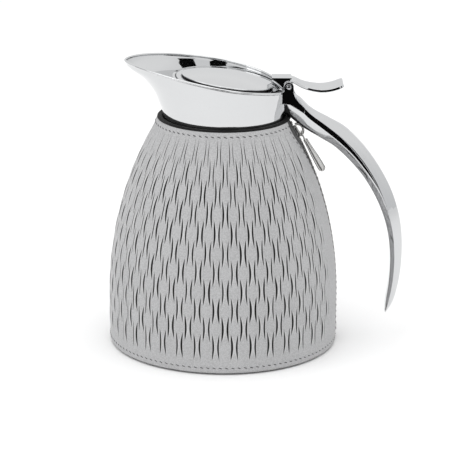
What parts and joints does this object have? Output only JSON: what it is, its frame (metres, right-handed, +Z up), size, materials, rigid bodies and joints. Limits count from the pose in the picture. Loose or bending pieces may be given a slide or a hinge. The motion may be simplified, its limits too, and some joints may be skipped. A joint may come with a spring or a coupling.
{
  "type": "insulated serving pitcher",
  "caption": "Vacuum-insulated serving pitcher: polished steel spout head, sprung domed lid with thumb lever, swept handle, and an embossed leather jacket that zips up the back.",
  "frame": {"origin": "centre of the foot, on the surface that the pitcher stands on", "axes": "+Z up along the body's axis, +X towards the handle, -X towards the spout, +Y across the pitcher"},
  "size_m": [0.1922, 0.15, 0.1871],
  "materials": {
    "flask_steel": "drawn stainless steel, satin",
    "polished_steel": "mirror-polished plated steel",
    "polished_handle": "mirror-polished plated casting",
    "screw_steel": "plain steel",
    "spring_steel": "drawn spring wire",
    "getter_metal": "dull sintered metal",
    "black_plastic": "moulded polypropylene",
    "foot_rubber": "matt rubber",
    "seal_silicone": "translucent silicone",
    "grey_leather": "grained leather, embossed and slit",
    "black_felt": "thin felt",
    "black_lining": "edge-painted black leather",
    "zip_tape": "woven tape",
    "zip_metal": "plated metal"
  },
  "bodies": {
    "flask": {"inner_flask": "flask_steel", "outer_shell": "flask_steel", "base_plate": "flask_steel", "getter": "getter_metal", "base_cap": "black_plastic", "foot_ring": "foot_rubber", "spout_head": "polished_steel", "pour_funnel": "polished_steel", "handle": "polished_handle", "handle_screws": "screw_steel", "hinge_pin": "screw_steel", "torsion_spring": "spring_steel", "leather_jacket": "grey_leather", "jacket_padding": "black_felt", "jacket_lining": "black_lining", "neck_binding": "black_lining", "zip_tape_left": "zip_tape", "zip_tape_right": "zip_tape", "zip_teeth_left": "zip_metal", "zip_teeth_right": "zip_metal", "zip_top_stops": "zip_metal", "zip_box": "zip_metal"},
    "lid": {"lid_dome": "polished_steel", "lid_plate": "black_plastic", "lid_seal": "seal_silicone", "lid_screw": "screw_steel", "hinge_bracket": "polished_steel", "thumb_lever": "polished_handle"},
    "zip_slider": {"zip_slider": "zip_metal"},
    "zip_link": {"zip_pull_link": "zip_metal"},
    "zip_tab": {"zip_pull_tab": "zip_metal"}
  },
  "joints": [
    {"name": "lid_hinge", "type": "hinge", "parent": "flask", "child": "lid", "pos_m": [0.0414, 0, 0.172], "axis": [0, 1, 0], "range_deg": [0, 36], "stiffness_Nm_per_rad": 0.06, "springref_deg": -34.38, "deforming": ["torsion_spring"]},
    {"name": "zip_travel", "type": "hinge", "parent": "flask", "child": "zip_slider", "pos_m": [-0.155, 0, 0.032], "axis": [0, 1, 0], "range_deg": [0, 26.93], "deforming": ["zip_teeth_left", "zip_teeth_right"]},
    {"name": "zip_link_swing", "type": "hinge", "parent": "zip_slider", "child": "zip_link", "pos_m": [0.04992, 0, 0.14078], "axis": [0, -1, 0], "range_deg": [0, 20]},
    {"name": "zip_tab_swing", "type": "hinge", "parent": "zip_link", "child": "zip_tab", "pos_m": [0.05243, 0, 0.13489], "axis": [0, -1, 0], "range_deg": [0, 20]}
  ]
}
